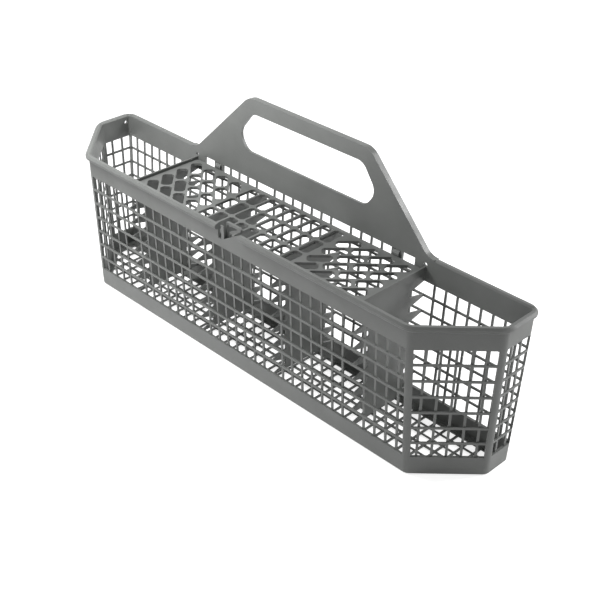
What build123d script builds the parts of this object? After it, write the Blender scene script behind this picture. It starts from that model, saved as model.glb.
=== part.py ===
"""Dishwasher cutlery basket: a long lattice tub with a carrying handle, and a hinged lid over its middle.

Millimetres. X runs along the basket, Y from the front to the back, Z up. The origin is on the ground
under the middle of the tub.
"""
import os
from math import ceil, floor, sqrt

from build123d import *

# Tub
base_length = 489.0
base_depth = 75.0
end_depth = 29.5
rim_height = 143.0
side_draft = 0.045
end_draft = 0.02
wall = 2.4
floor_thickness = 2.4
front_corner_radius = 8.0
rear_corner_radius = 5.0
base_edge_bevel = 1.0

# Lattice
column_pitch = 11.7
bar_width = 2.0
rows = 7
foot_band = 18.0
top_band = 21.8
post_width = 3.6
rear_post_width = 2.8
floor_margin = 7.0
floor_rows = 2
floor_columns_per_bay = 8

# Rim bead
bead_height = 5.4
bead_width = 3.2
bead_bevel = 1.7
bead_front_radius = 18.0
bead_rear_radius = 11.0
rim_bevel = 1.3

# Handle plate, which carries on upward from the back wall
handle_rise = 70.0
handle_top_half = 72.0
handle_shoulder_radius = 17.0
handle_foot_radius = 14.0
grip_height = 13.5
hand_hole_sill = 19.5
hand_hole_inset = 6.0
hand_hole_bulge = 17.0
hand_hole_waist = 0.4
hand_hole_radius = 12.0

# Compartments
columns_per_bay = 8
divider_thickness = 1.6
divider_seat = 0.6
divider_panel_half = 23.0
divider_rung = 1.4
divider_window = 5.0
outer_divider_drop = 9.0
peg_hole_diameter = 3.6
peg_hole_sides = 8
peg_hole_from_corner = 6.9

# Lid
lid_thickness = 2.4
lid_drop = 11.5
lid_rest_gap = 0.3
lid_side_gap = 0.6
lid_rear_gap = 0.8
lid_front_gap = 1.5
lid_frame = 3.8
lid_web = 3.0
lid_bar = 2.1
lid_middle_half = 57.6
lid_middle_columns = 9
lid_middle_rows = 3
lid_side_cells = 4
lid_slot_bevel = 2.3
lid_slot_end_bars = 1.8

# Hinge
hinge_column = 9
hinge_pocket = 7.6
hinge_side_window = 13.6
pin_diameter = 2.2
pin_clearance = 0.2
pin_above_lid = 2.1
knuckle_wall = 1.8
knuckle_end_gap = 0.4
swing_clearance = 0.5

# Catch in the middle of the front rim
notch_left = -6.8
notch_right = 14.0
notch_depth = 12.0
latch_finger = 3.6
latch_slot = 3.9
latch_slot_depth = 13.5
loop_left = -8.0
loop_right = 10.6
loop_stem = 5.0
loop_above_rim = 3.2
loop_tip = 2.9
loop_bar = 2.2
loop_thickness = 2.2
loop_gap = 0.5
loop_corner = 1.2

# Sizes that follow from the ones above
half_wall = wall / 2
first_row_top = rim_height - top_band
row_pitch = (first_row_top - foot_band + bar_width) / rows
bay = columns_per_bay * column_pitch
handle_top = rim_height + handle_rise
handle_foot_half = handle_top_half + handle_rise
lid_top = rim_height - lid_drop
lid_low = lid_top - lid_thickness
pin_z = lid_top + pin_above_lid
bore_radius = pin_diameter / 2 + pin_clearance
knuckle_radius = bore_radius + knuckle_wall
hinge_row_foot = first_row_top + bar_width
hinge_row_top = pin_z + knuckle_radius + swing_clearance
hinge_near = hinge_column * column_pitch
pocket_start = hinge_near + bar_width / 2
pocket_middle = pocket_start + hinge_pocket / 2
divider_columns = [int(step * columns_per_bay) for step in (-1.5, -0.5, 0.5, 1.5)]
slot_right = notch_left - latch_finger
slot_left = slot_right - latch_slot
plate_low = max(rim_height - bead_height, hinge_row_top)
past = 1.0
diagonal = sqrt(0.5)


class Wall:
    """One flat wall: its plan normal, how far its foot stands from the origin, and its draft."""

    def __init__(self, nx, ny, distance, draft):
        self.nx, self.ny, self.distance, self.draft = nx, ny, distance, draft
        self.stretch = sqrt(1 + draft * draft)

    def reach(self, z, outward=0.0):
        return self.distance + self.draft * z + outward * self.stretch

    def plane(self, outward=0.0):
        """Sketch plane on the outer face: x runs along the wall, y up it, z out of the basket."""
        foot = self.reach(0, outward)
        return Plane(
            origin=(self.nx * foot, self.ny * foot, 0),
            x_dir=(-self.ny, self.nx, 0),
            z_dir=(self.nx, self.ny, -self.draft),
        )


cut_reach = diagonal * (base_length / 2 - base_depth / 2 + end_depth)
right_end = Wall(1, 0, base_length / 2, end_draft)
back = Wall(0, 1, base_depth / 2, side_draft)
left_end = Wall(-1, 0, base_length / 2, end_draft)
left_cut = Wall(-diagonal, -diagonal, cut_reach, end_draft)
front = Wall(0, -1, base_depth / 2, side_draft)
right_cut = Wall(diagonal, -diagonal, cut_reach, end_draft)
walls = [right_end, back, left_end, left_cut, front, right_cut]


def meeting(a, b, z, outward=0.0):
    """Plan point where two walls meet at a height."""
    ra, rb = a.reach(z, outward), b.reach(z, outward)
    turn = a.nx * b.ny - a.ny * b.nx
    return ((ra * b.ny - rb * a.ny) / turn, (a.nx * rb - b.nx * ra) / turn)


def tub(outward, z_low, z_high, radii=None):
    """Solid with the tub's outline, moved outward by a distance, between two heights.

    Its front and rear corners move outward too, unless other radii are given.
    """
    front_radius, rear_radius = radii or (front_corner_radius + outward, rear_corner_radius + outward)
    low = []
    high = []
    for i, w in enumerate(walls):
        after = walls[(i + 1) % len(walls)]
        low.append((*meeting(w, after, z_low, outward), z_low))
        high.append((*meeting(w, after, z_high, outward), z_high))
    faces = [Face(Wire.make_polygon(low)), Face(Wire.make_polygon(high))]
    for i in range(len(walls)):
        j = (i + 1) % len(walls)
        faces.append(Face(Wire.make_polygon([low[i], low[j], high[j], high[i]])))
    block = Solid(Shell(faces))
    rear = upright_edges(block, rear=True)
    fore = upright_edges(block, rear=False)
    block = fillet(fore, front_radius)
    places = [e.center() for e in rear]
    rear = [e for e in block.edges() if any((e.center() - p).length < 0.01 for p in places)]
    return fillet(rear, rear_radius)


def upright_edges(block, rear):
    """Corner edges of a tub, at its two rear corners or at its four front ones."""
    rear_line = base_depth / 4
    size = block.bounding_box().size.Z
    found = []
    for edge in block.edges():
        rises = abs(edge.position_at(0).Z - edge.position_at(1).Z) > size / 2
        if rises and (edge.center().Y > rear_line) == rear:
            found.append(edge)
    return found


def clip(points, a, b, c):
    """Part of a convex polygon where a*x + b*y <= c."""
    kept = []
    for i, (x0, y0) in enumerate(points):
        x1, y1 = points[(i + 1) % len(points)]
        d0, d1 = a * x0 + b * y0 - c, a * x1 + b * y1 - c
        if d0 <= 0:
            kept.append((x0, y0))
        if d0 * d1 < 0:
            t = d0 / (d0 - d1)
            kept.append((x0 + t * (x1 - x0), y0 + t * (y1 - y0)))
    return kept


def panel_sides(w):
    """The two edges of a wall panel in its sketch plane: where each starts, its lean, its post's width."""
    i = walls.index(w)
    sides = []
    for other in (walls[i - 1], walls[(i + 1) % len(walls)]):
        x0, y0 = meeting(w, other, 0)
        x1, y1 = meeting(w, other, rim_height)
        u0, u1 = -w.ny * x0 + w.nx * y0, -w.ny * x1 + w.nx * y1
        post = rear_post_width if back in (w, other) else post_width
        sides.append((u0, (u1 - u0) / (rim_height * w.stretch), post))
    return sorted(sides)


def rectangle(u_low, u_high, v_low, v_high):
    return [(u_low, v_low), (u_high, v_low), (u_high, v_high), (u_low, v_high)]


def window(w, u_low, u_high, z_low, z_high):
    """Rectangle on a wall panel, kept clear of the posts at the panel's two edges."""
    (left, left_lean, left_post), (right, right_lean, right_post) = panel_sides(w)
    points = rectangle(u_low, u_high, z_low * w.stretch, z_high * w.stretch)
    points = clip(points, -1, left_lean, -(left + left_post))
    return clip(points, 1, -right_lean, right - right_post)


def cutter(w, points, depth_from, depth_to):
    """Block through a wall panel between two depths, which are measured inward from the outer face."""
    near = w.plane(-depth_from)
    return extrude(near * Polygon(*points, align=None), amount=depth_from - depth_to)


def inner_cutter(w, points):
    return cutter(w, points, half_wall, wall + 2 * past)


def outer_cutter(w, points):
    return cutter(w, points, -past, half_wall)


def bar_places(w):
    """Middles of the upright bars of a wall panel: none stands where a divider meets the long walls."""
    (left, left_lean, left_post), (right, right_lean, right_post) = panel_sides(w)
    if w in (front, back):
        first = ceil((left + left_post) / column_pitch)
        last = floor((right - right_post) / column_pitch)
        return [k * column_pitch for k in range(first, last + 1) if k not in divider_columns]
    mid_height = rim_height / 2
    low, high = left + left_lean * mid_height, right + right_lean * mid_height
    count = round((high - low) / column_pitch) - 1
    return [(low + high) / 2 + (k - (count - 1) / 2) * column_pitch for k in range(count)]


def lattice_cutters(w):
    """Tall slots in the inner half of a wall and long slots in its outer half, which leave crossed bars."""
    (left, _, _), (right, _, _) = panel_sides(w)
    beyond = 2 * wall + side_draft * rim_height
    edges = [left - beyond, *bar_places(w), right + beyond]
    cutters = []
    for a, b in zip(edges, edges[1:]):
        in_hinge_row = w is back and max(abs(a), abs(b)) < hinge_near + bar_width
        top = hinge_row_top if in_hinge_row else first_row_top
        points = window(w, a + bar_width / 2, b - bar_width / 2, foot_band, top)
        across = [u for u, _ in points]
        if points and max(across) - min(across) > bar_width:
            cutters.append(inner_cutter(w, points))
    for r in range(rows):
        z = foot_band + r * row_pitch
        points = window(w, left - beyond, right + beyond, z, z + row_pitch - bar_width)
        cutters.append(outer_cutter(w, points))
    return cutters


def hinge_row_cutters():
    """Extra row of windows in the back wall above the lid, with a pocket for each of its two knuckles."""
    v_low, v_high = hinge_row_foot * back.stretch, hinge_row_top * back.stretch
    row_half = hinge_near - bar_width / 2
    cutters = [outer_cutter(back, rectangle(-row_half, row_half, v_low, v_high))]
    pocket_end = pocket_start + hinge_pocket
    window_start = pocket_end + bar_width
    for a, b in ((pocket_start, pocket_end), (window_start, window_start + hinge_side_window)):
        for points in (rectangle(a, b, v_low, v_high), rectangle(-b, -a, v_low, v_high)):
            cutters.append(cutter(back, points, -past, wall + past))
    return cutters


def floor_cutters():
    """Long slots in the lower half of the floor and cross slots in its upper half, clear of the walls."""
    outline = []
    for i, w in enumerate(walls):
        outline.append(meeting(w, walls[(i + 1) % len(walls)], 0, -floor_margin))
    across = base_depth - 2 * floor_margin
    half = floor_thickness / 2
    cutters = []
    for k in range(floor_rows):
        y = -across / 2 + k * across / floor_rows
        strip = clip(outline, 0, -1, -(y + bar_width / 2))
        strip = clip(strip, 0, 1, y + across / floor_rows - bar_width / 2)
        cutters.append(extrude(Pos(0, 0, half) * Polygon(*strip, align=None), amount=-half - past))
    pitch = bay / floor_columns_per_bay
    count = ceil(base_length / 2 / pitch)
    for k in range(-count, count):
        strip = clip(outline, -1, 0, -(k * pitch + bar_width / 2))
        strip = clip(strip, 1, 0, (k + 1) * pitch - bar_width / 2)
        if strip and max(x for x, _ in strip) - min(x for x, _ in strip) > bar_width:
            cutters.append(extrude(Pos(0, 0, half) * Polygon(*strip, align=None), amount=half + past))
    return cutters


def peg_hole_cutters():
    """Small holes just under the rim: two in the back wall and one in the left end."""
    z = rim_height - bead_height - peg_hole_diameter / 2
    cutters = []
    for w, u in ((back, -1.5 * bay), (back, 1.5 * bay), (left_end, peg_hole_from_corner - back.reach(z))):
        outline = RegularPolygon(peg_hole_diameter / 2, peg_hole_sides, major_radius=False)
        hole = w.plane(past) * Pos(u, z * w.stretch) * outline
        cutters.append(extrude(hole, amount=-wall - 2 * past))
    return cutters


def handle_outline():
    """Handle plate on the back wall's sketch plane: it rises from the rim at 45 degrees to a flat top."""
    top, rim, low = handle_top * back.stretch, rim_height * back.stretch, plate_low * back.stretch
    wide = handle_foot_half + handle_foot_radius / 2
    right_side = [(wide, low), (wide, rim), (handle_foot_half, rim), (handle_top_half, top)]
    left_side = [(-u, v) for u, v in reversed(right_side)]
    shape = Polygon(*right_side, *left_side, align=None)
    feet = [p for p in shape.vertices() if abs(p.Y - rim) < past and abs(p.X) < wide - past]
    shape = fillet(feet, handle_foot_radius)
    shoulders = [p for p in shape.vertices() if abs(p.Y - top) < past]
    return fillet(shoulders, handle_shoulder_radius)


def hand_hole_outline():
    """Six-sided hand hole, widest a little below its middle."""
    low = (rim_height + hand_hole_sill) * back.stretch
    top = (handle_top - grip_height) * back.stretch
    waist = low + hand_hole_waist * (top - low)
    top_half = handle_top_half - hand_hole_inset
    right_side = [(handle_top_half, low), (top_half + hand_hole_bulge, waist), (top_half, top)]
    left_side = [(-u, v) for u, v in reversed(right_side)]
    shape = Polygon(*right_side, *left_side, align=None)
    return fillet(shape.vertices(), min(hand_hole_radius, (top - low) / 3))


def handle_solids():
    """The plate, the bead along its edge on the outside, and the block that cuts the hand hole."""
    outline = handle_outline()
    plate = extrude(back.plane(-wall) * outline, amount=wall)
    band = outline - offset(outline, -bead_height)
    rim = (rim_height - bead_height) * back.stretch
    band -= Pos(0, rim - rim_height / 2) * Rectangle(base_length, rim_height)
    bead = extrude(back.plane(-half_wall) * band, amount=half_wall + bead_width)
    hole = extrude(back.plane(-wall - past) * hand_hole_outline(), amount=wall + 2 * past)
    return plate, bead, hole


def rim_bead():
    """Bead round the outside of the rim, left open where the handle plate stands and at the catch."""
    bead = tub(bead_width, rim_height - bead_height, rim_height, (bead_front_radius, bead_rear_radius))
    ends = bead.faces().sort_by(Axis.Z)
    bead = chamfer(ends[0].edges() + ends[-1].edges(), bead_bevel)
    bead -= tub(-half_wall, rim_height - bead_height - past, rim_height + past)
    behind = (Align.CENTER, Align.MIN, Align.CENTER)
    before = (Align.MIN, Align.MAX, Align.CENTER)
    bead -= Box(2 * handle_foot_half, base_depth, 2 * rim_height, align=behind)
    return bead - Pos(slot_left, 0) * Box(notch_right - slot_left, base_depth, 2 * rim_height, align=before)


def divider_edge(top):
    """Edge of a divider along the back wall, from its foot up: a tapered rung runs out to each cross bar."""
    spare = (bar_width - divider_rung) / 2
    outward = divider_seat - half_wall
    foot = foot_band - bar_width + spare
    points = [(back.reach(foot, outward), foot)]
    for r in range(rows):
        low = foot_band + r * row_pitch - spare
        high = foot_band + (r + 1) * row_pitch - bar_width + spare
        middle = (low + high) / 2
        points.append((back.reach(low, outward), low))
        points.append((divider_panel_half, middle - divider_window / 2))
        points.append((divider_panel_half, middle + divider_window / 2))
        points.append((back.reach(high, outward), high))
    return [*points, (back.reach(top, outward), top)]


def divider(x, top):
    """Cross wall that hangs clear of the floor between the front lattice and the back one."""
    back_edge = divider_edge(top)
    front_edge = [(-y, z) for y, z in reversed(back_edge)]
    side = Plane(origin=(x - divider_thickness / 2, 0, 0), x_dir=(0, 1, 0), z_dir=(1, 0, 0))
    return extrude(side * Polygon(*back_edge, *front_edge, align=None), amount=divider_thickness)


def dividers():
    inner_top = lid_low - lid_rest_gap
    outer_top = rim_height - outer_divider_drop
    tops = (outer_top, inner_top, inner_top, outer_top)
    return [divider(k * column_pitch, top) for k, top in zip(divider_columns, tops)]


def along_x(radius, length, x):
    """Cylinder on the hinge line."""
    pin_y = back.reach(pin_z, -half_wall)
    return Pos(x, pin_y, pin_z) * Rot(0, 90, 0) * Cylinder(radius, length)


def hinge_pins():
    length = hinge_pocket + bar_width
    return [along_x(pin_diameter / 2, length, side * pocket_middle) for side in (-1, 1)]


def catch_cutters():
    """Sloping notch that bares the lid's pull loop, and the slot that frees a springy finger beside it."""
    high = rim_height + past
    spread = (notch_right - notch_left) / notch_depth
    notch = [(notch_left, rim_height - notch_depth), (notch_right + past * spread, high), (notch_left, high)]
    slot = rectangle(slot_left, slot_right, rim_height - latch_slot_depth, high)
    face_y = -front.reach(rim_height, bead_width + past)
    face = Plane(origin=(0, face_y, 0), x_dir=(1, 0, 0), z_dir=(0, -1, 0))
    return [extrude(face * Polygon(*p, align=None), amount=-3 * (wall + bead_width)) for p in (notch, slot)]


def build_basket():
    outer = tub(0.0, 0.0, rim_height)
    outer = chamfer(outer.faces().sort_by(Axis.Z)[0].edges(), base_edge_bevel)
    shell = outer - tub(-wall, floor_thickness, rim_height + past)
    shell = chamfer(shell.faces().sort_by(Axis.Z)[-1].inner_wires()[0].edges(), rim_bevel)
    cutters = hinge_row_cutters() + floor_cutters() + peg_hole_cutters()
    for w in walls:
        cutters += lattice_cutters(w)
    shell = shell.cut(*cutters)
    plate, edge_bead, hand_hole = handle_solids()
    body = shell.fuse(rim_bead(), plate, edge_bead)
    body = body.cut(hand_hole, *catch_cutters())
    return body.fuse(*hinge_pins(), *dividers())


def lid_slots(half_length, depth):
    """Slot outlines of the lid: upright ones in the middle panel and slanted ones in the two side panels."""
    open_depth = depth - 2 * lid_frame
    pitch_x = (2 * lid_middle_half + lid_bar) / lid_middle_columns
    pitch_y = (open_depth + lid_bar) / lid_middle_rows
    slot = Rectangle(pitch_x - lid_bar, pitch_y - lid_bar)
    slot = chamfer(slot.vertices(), lid_slot_bevel)
    slots = [at * slot for at in GridLocations(pitch_x, pitch_y, lid_middle_columns, lid_middle_rows)]

    panel_low, panel_high = lid_middle_half + lid_web, half_length - lid_frame
    panel = panel_high - panel_low
    cell = min(panel, open_depth) / lid_side_cells
    slot_long = 2 * diagonal * cell - lid_slot_end_bars * lid_bar
    slot_wide = diagonal * cell - lid_bar
    slanted = Rectangle(slot_long, slot_wide)
    slanted = chamfer(slanted.vertices(), lid_slot_bevel)
    slot_span = diagonal * (slot_long + slot_wide) - lid_slot_bevel
    step_x = (panel - slot_span) / (lid_side_cells - 1)
    step_y = (open_depth - slot_span) / (lid_side_cells - 1)
    centre = (panel_low + panel_high) / 2
    for at in GridLocations(step_x, step_y, lid_side_cells, lid_side_cells):
        x, y = at.position.X, at.position.Y
        slots.append(Pos(centre + x, y) * Rot(0, 0, 45) * slanted)
        slots.append(Pos(-centre - x, y) * Rot(0, 0, -45) * slanted)
    return slots


def pull_loop(lid_front):
    """Three-cornered loop before the lid, its lower side along the notch, and the arm that carries it."""
    high = rim_height + loop_above_rim
    front_y = loop_gap - front.reach(lid_low, -wall)
    slope = notch_depth / (notch_right - notch_left)
    stem_right = loop_left + loop_stem
    tip_low = high - loop_tip
    elbow = tip_low - slope * (loop_right - stem_right)
    ring = Polygon(
        (loop_left, lid_low),
        (stem_right, lid_low),
        (stem_right, elbow),
        (loop_right, tip_low),
        (loop_right, high),
        (loop_left, high),
        align=None,
    )
    ring = chamfer([p for p in ring.vertices() if p.Y > high - past], loop_corner)
    side_bar = loop_bar * sqrt(1 + slope * slope)
    hole_left, hole_top = loop_left + loop_bar, high - loop_bar
    hole_low = tip_low + side_bar - slope * (loop_right - hole_left)
    hole_right = hole_left + (hole_top - hole_low) / slope
    hole = Polygon((hole_left, hole_low), (hole_right, hole_top), (hole_left, hole_top), align=None)
    face = Plane(origin=(0, front_y, 0), x_dir=(1, 0, 0), z_dir=(0, -1, 0))
    loop = extrude(face * (ring - hole), amount=-loop_thickness)
    arm_front = front_y + loop_thickness / 2
    arm_length = lid_front + lid_frame / 2 - arm_front
    arm = Box(loop_stem - loop_corner, arm_length, lid_thickness, align=(Align.MIN, Align.MIN, Align.MIN))
    return loop, Pos(loop_left + loop_corner / 2, arm_front, lid_low) * arm


def build_lid():
    half_length = 1.5 * bay - divider_thickness / 2 - lid_side_gap
    rear = back.reach(lid_low, -wall) - lid_rear_gap
    fore = lid_front_gap - front.reach(lid_low, -wall)
    sheet = Rectangle(2 * half_length, rear - fore)
    sheet = chamfer(sheet.vertices(), lid_slot_bevel)
    centre = Pos(0, (rear + fore) / 2, lid_low)
    lid = extrude(centre * sheet, amount=lid_thickness)
    under = centre * Pos(0, 0, -past)
    slots = [extrude(under * s, amount=lid_thickness + 2 * past) for s in lid_slots(half_length, rear - fore)]
    lid = lid.cut(*slots)

    pin_y = back.reach(pin_z, -half_wall)
    wide = hinge_pocket - 2 * knuckle_end_gap
    tongue_root = rear - lid_frame / 2
    knuckles = []
    bores = []
    for side in (-1, 1):
        x = side * pocket_middle
        tongue = Box(wide, pin_y - tongue_root, lid_thickness, align=(Align.CENTER, Align.MIN, Align.MIN))
        knuckles += [along_x(knuckle_radius, wide, x), Pos(x, tongue_root, lid_low) * tongue]
        bores.append(along_x(bore_radius, column_pitch, x))
    return lid.fuse(*knuckles, *pull_loop(fore)).cut(*bores)


os.makedirs("parts", exist_ok=True)
export_step(build_basket(), "parts/basket.step")
export_step(build_lid(), "parts/lid.step")
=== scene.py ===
from math import atan, cos, radians, sin

import bpy
from mathutils import Matrix, Vector


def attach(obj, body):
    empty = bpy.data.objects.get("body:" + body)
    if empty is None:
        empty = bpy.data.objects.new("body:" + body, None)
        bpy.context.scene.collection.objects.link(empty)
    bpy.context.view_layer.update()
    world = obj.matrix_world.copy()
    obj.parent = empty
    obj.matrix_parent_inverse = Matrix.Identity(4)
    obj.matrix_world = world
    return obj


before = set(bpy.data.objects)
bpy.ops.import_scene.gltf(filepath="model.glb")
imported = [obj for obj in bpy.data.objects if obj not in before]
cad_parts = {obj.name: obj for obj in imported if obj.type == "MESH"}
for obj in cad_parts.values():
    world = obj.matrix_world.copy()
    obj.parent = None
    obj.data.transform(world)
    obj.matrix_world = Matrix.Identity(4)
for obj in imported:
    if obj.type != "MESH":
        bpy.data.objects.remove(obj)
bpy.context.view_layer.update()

# Camera at the photograph's viewpoint: degrees, metres, and pixels of the square frame
VIEW_AZIMUTH = 44.788
VIEW_ELEVATION = 32.369
VIEW_ROLL = 1.09
VIEW_DISTANCE = 1.0142
VIEW_TARGET = Vector((0.02524, 0.01559, 0.05999))
FOCAL_PIXELS = 1149.4
FRAME_PIXELS = 600

# Plastic: linear colours, and metres for the sizes and depths of its unevenness
BODY_DARK = (0.136, 0.141, 0.136, 1.0)
BODY_LIGHT = (0.162, 0.168, 0.162, 1.0)
LID_DARK = (0.130, 0.135, 0.130, 1.0)
LID_LIGHT = (0.156, 0.161, 0.156, 1.0)
CLOUD_SIZE = 0.045
GLOSS_SIZE = 0.02
GLOSS_ROUGHNESS = (0.36, 0.47)
GRAIN_SIZE = 0.0007
GRAIN_STRENGTH = 0.12
GRAIN_DEPTH = 0.0002
WAVE_SIZE = 0.03
WAVE_STRENGTH = 0.1
WAVE_DEPTH = 0.001
PLASTIC_IOR = 1.49
NOISE_ROUGHNESS = 0.55
NOISE_LOW = 0.32
NOISE_HIGH = 0.68

# Soft edges of the mouldings: metres and degrees
EDGE_ROUNDING = 0.00045
EDGE_STEPS = 2
EDGE_ANGLE = 30
JOIN_DISTANCE = 0.00001
FLAT_FACE_WEIGHT = 100

# Fine lengthwise bars of the basket's floor: metres
BAR_PLACES = (-0.0206, -0.0103, 0.0103, 0.0206)
BAR_WIDTH = 0.002
BAR_LOW = 0.0001
BAR_HIGH = 0.00125
BAR_END = 0.2385
BAR_CUT_END = 0.2276

# Corners of a square, anticlockwise from above, and faces of a block with four corners below and four above
SQUARE = ((-1, -1), (1, -1), (1, 1), (-1, 1))
BLOCK_FACES = ((3, 2, 1, 0), (4, 5, 6, 7), (0, 1, 5, 4), (1, 2, 6, 5), (2, 3, 7, 6), (3, 0, 4, 7))

# Floor and surroundings: metres, linear colour and strengths
FLOOR_HALF = 4.0
FLOOR_DROP = 0.0004
FLOOR_WHITE = (0.92, 0.92, 0.92, 1.0)
FLOOR_GLOW = 0.75
WORLD_WHITE = (1.0, 1.0, 1.0, 1.0)
WORLD_FILL = 0.265

# Lamps: name, place, the point it faces, side, watts, and whether it shows in the gloss
LAMPS = (
    ("back_box", (0.7, 1.1, 0.9), (0.0, 0.0, 0.13), 0.5, 14.0, True),
    ("front_box", (-0.8, -0.9, 0.25), (0.0, 0.0, 0.1), 0.3, 2.2, True),
    ("handle_box", (-0.2, -0.14, 0.42), (-0.06, 0.045, 0.19), 0.16, 1.9, False),
    ("end_box", (0.9, 0.7, 0.06), (0.2, 0.0, 0.03), 0.12, 2.0, False),
)


def add_node(tree, kind, **inputs):
    """New shader node with the given input values."""
    node = tree.nodes.new(kind)
    for name, value in inputs.items():
        node.inputs[name.replace("_", " ")].default_value = value
    return node


def spread(tree, vector, size, low, high, detail=3.0):
    """Noise with features of about a size in metres, mapped to a range."""
    noise = add_node(
        tree, "ShaderNodeTexNoise", Scale=1.0 / size, Detail=detail, Roughness=NOISE_ROUGHNESS
    )
    tree.links.new(vector, noise.inputs["Vector"])
    ramp = add_node(
        tree, "ShaderNodeMapRange", From_Min=NOISE_LOW, From_Max=NOISE_HIGH, To_Min=low, To_Max=high
    )
    tree.links.new(noise.outputs["Fac"], ramp.inputs["Value"])
    return ramp.outputs["Result"]


def moulded_plastic(name, dark, light):
    """Satin moulded plastic: cloudy colour, uneven gloss, a fine sparked grain and faint flow waves."""
    material = bpy.data.materials.new(name)
    material.use_nodes = True
    tree = material.node_tree
    shader = tree.nodes["Principled BSDF"]
    place = tree.nodes.new("ShaderNodeTexCoord").outputs["Object"]

    mix = tree.nodes.new("ShaderNodeMix")
    mix.data_type = "RGBA"
    mix.inputs["A"].default_value = dark
    mix.inputs["B"].default_value = light
    tree.links.new(spread(tree, place, CLOUD_SIZE, 0.0, 1.0), mix.inputs["Factor"])
    tree.links.new(mix.outputs["Result"], shader.inputs["Base Color"])
    tree.links.new(spread(tree, place, GLOSS_SIZE, *GLOSS_ROUGHNESS), shader.inputs["Roughness"])

    grain = add_node(tree, "ShaderNodeBump", Strength=GRAIN_STRENGTH, Distance=GRAIN_DEPTH)
    tree.links.new(spread(tree, place, GRAIN_SIZE, 0.0, 1.0, detail=2.0), grain.inputs["Height"])
    waves = add_node(tree, "ShaderNodeBump", Strength=WAVE_STRENGTH, Distance=WAVE_DEPTH)
    tree.links.new(spread(tree, place, WAVE_SIZE, 0.0, 1.0, detail=1.0), waves.inputs["Height"])
    tree.links.new(waves.outputs["Normal"], grain.inputs["Normal"])
    tree.links.new(grain.outputs["Normal"], shader.inputs["Normal"])
    shader.inputs["IOR"].default_value = PLASTIC_IOR
    return material


def soften(obj):
    """Rounds a moulding's edges and keeps its flat faces flat to the light."""
    weld = obj.modifiers.new("join_faces", "WELD")
    weld.merge_threshold = JOIN_DISTANCE
    bevel = obj.modifiers.new("soft_edges", "BEVEL")
    bevel.width = EDGE_ROUNDING
    bevel.segments = EDGE_STEPS
    bevel.limit_method = "ANGLE"
    bevel.angle_limit = radians(EDGE_ANGLE)
    normals = obj.modifiers.new("flat_faces", "WEIGHTED_NORMAL")
    normals.mode = "FACE_AREA"
    normals.weight = FLAT_FACE_WEIGHT


def dress_nodes():
    """Gives each moulding its plastic and soft edges, and the basket its fine floor bars."""
    plastics = {
        "basket": moulded_plastic("basket_plastic", BODY_DARK, BODY_LIGHT),
        "lid": moulded_plastic("lid_plastic", LID_DARK, LID_LIGHT),
    }
    for name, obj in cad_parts.items():
        obj.data.materials.clear()
        obj.data.materials.append(plastics[name])
        soften(obj)
    make_floor_bars(plastics["basket"])


def make_floor_bars(plastic):
    """Adds the fine lengthwise bars under the cross bars of the basket's floor."""
    corners = []
    faces = []
    for y in BAR_PLACES:
        x = min(BAR_END, BAR_CUT_END + y)
        first = len(corners)
        for z in (BAR_LOW, BAR_HIGH):
            for side_x, side_y in SQUARE:
                corners.append((side_x * x, y + side_y * BAR_WIDTH / 2, z))
        for face in BLOCK_FACES:
            faces.append([first + k for k in face])
    mesh = bpy.data.meshes.new("floor_bars")
    mesh.from_pydata(corners, [], faces)
    mesh.materials.append(plastic)
    bars = bpy.data.objects.new("floor_bars", mesh)
    bpy.context.collection.objects.link(bars)
    soften(bars)
    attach(bars, "basket")


def seen_background(tree):
    """1 for a ray from the camera, from a glossy surface or through glass, and 0 for any other."""
    path = tree.nodes.new("ShaderNodeLightPath")
    total = path.outputs["Is Camera Ray"]
    for output in ("Is Glossy Ray", "Is Transmission Ray"):
        both = tree.nodes.new("ShaderNodeMath")
        both.operation = "MAXIMUM"
        tree.links.new(total, both.inputs[0])
        tree.links.new(path.outputs[output], both.inputs[1])
        total = both.outputs["Value"]
    return total


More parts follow.
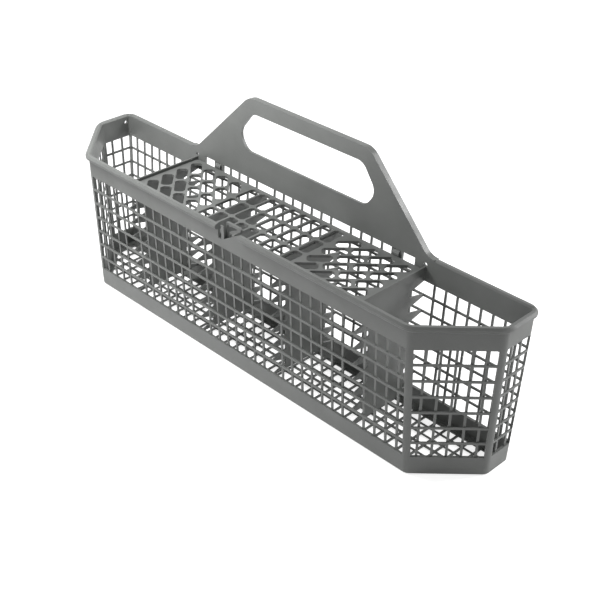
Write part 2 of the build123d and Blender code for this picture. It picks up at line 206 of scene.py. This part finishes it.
def make_floor():
    """White floor that shows as the white background and keeps a soft shadow."""
    mesh = bpy.data.meshes.new("floor")
    corners = [(x * FLOOR_HALF, y * FLOOR_HALF, -FLOOR_DROP) for x, y in SQUARE]
    mesh.from_pydata(corners, [], [(0, 1, 2, 3)])
    floor = bpy.data.objects.new("floor", mesh)
    bpy.context.collection.objects.link(floor)
    material = bpy.data.materials.new("floor_white")
    material.use_nodes = True
    tree = material.node_tree
    tree.nodes.clear()
    matt = add_node(tree, "ShaderNodeBsdfDiffuse", Color=FLOOR_WHITE)
    share = add_node(tree, "ShaderNodeMapRange", To_Min=0.0, To_Max=FLOOR_GLOW)
    tree.links.new(seen_background(tree), share.inputs["Value"])
    glow = tree.nodes.new("ShaderNodeEmission")
    tree.links.new(share.outputs["Result"], glow.inputs["Strength"])
    both = tree.nodes.new("ShaderNodeAddShader")
    tree.links.new(matt.outputs["BSDF"], both.inputs[0])
    tree.links.new(glow.outputs["Emission"], both.inputs[1])
    output = tree.nodes.new("ShaderNodeOutputMaterial")
    tree.links.new(both.outputs["Shader"], output.inputs["Surface"])
    mesh.materials.append(material)


def make_world():
    """White surroundings to the eye, and a dimmer even fill on the object."""
    world = bpy.data.worlds.new("studio")
    bpy.context.scene.world = world
    world.use_nodes = True
    tree = world.node_tree
    background = tree.nodes["Background"]
    background.inputs["Color"].default_value = WORLD_WHITE
    level = add_node(tree, "ShaderNodeMapRange", To_Min=WORLD_FILL, To_Max=1.0)
    tree.links.new(seen_background(tree), level.inputs["Value"])
    tree.links.new(level.outputs["Result"], background.inputs["Strength"])


def softbox(name, place, aim, size, power, shines):
    """Square area light that faces a point, with or without a reflection of its own in the gloss."""
    data = bpy.data.lights.new(name, "AREA")
    data.size = size
    data.energy = power
    lamp = bpy.data.objects.new(name, data)
    lamp.location = place
    lamp.visible_camera = False
    lamp.visible_glossy = shines
    lamp.rotation_euler = (Vector(aim) - Vector(place)).to_track_quat("-Z", "Y").to_euler()
    bpy.context.collection.objects.link(lamp)


def make_camera():
    """Camera that looks at the view target from the photograph's angle and distance."""
    azimuth, elevation, roll = radians(VIEW_AZIMUTH), radians(VIEW_ELEVATION), radians(VIEW_ROLL)
    away = Vector((sin(azimuth) * cos(elevation), -cos(azimuth) * cos(elevation), sin(elevation)))
    level_right = Vector((0.0, 0.0, 1.0)).cross(away).normalized()
    level_up = away.cross(level_right)
    right = level_right * cos(roll) + level_up * sin(roll)
    up = level_up * cos(roll) - level_right * sin(roll)
    data = bpy.data.cameras.new("camera")
    data.sensor_fit = "HORIZONTAL"
    data.angle = 2 * atan(FRAME_PIXELS / 2 / FOCAL_PIXELS)
    camera = bpy.data.objects.new("camera", data)
    bpy.context.collection.objects.link(camera)
    place = VIEW_TARGET + away * VIEW_DISTANCE
    axes = Matrix((right, up, away)).transposed().to_4x4()
    camera.matrix_world = Matrix.Translation(place) @ axes
    bpy.context.scene.camera = camera


dress_nodes()
make_floor()
make_world()
for lamp_values in LAMPS:
    softbox(*lamp_values)
make_camera()
bpy.context.scene.view_settings.view_transform = "Standard"
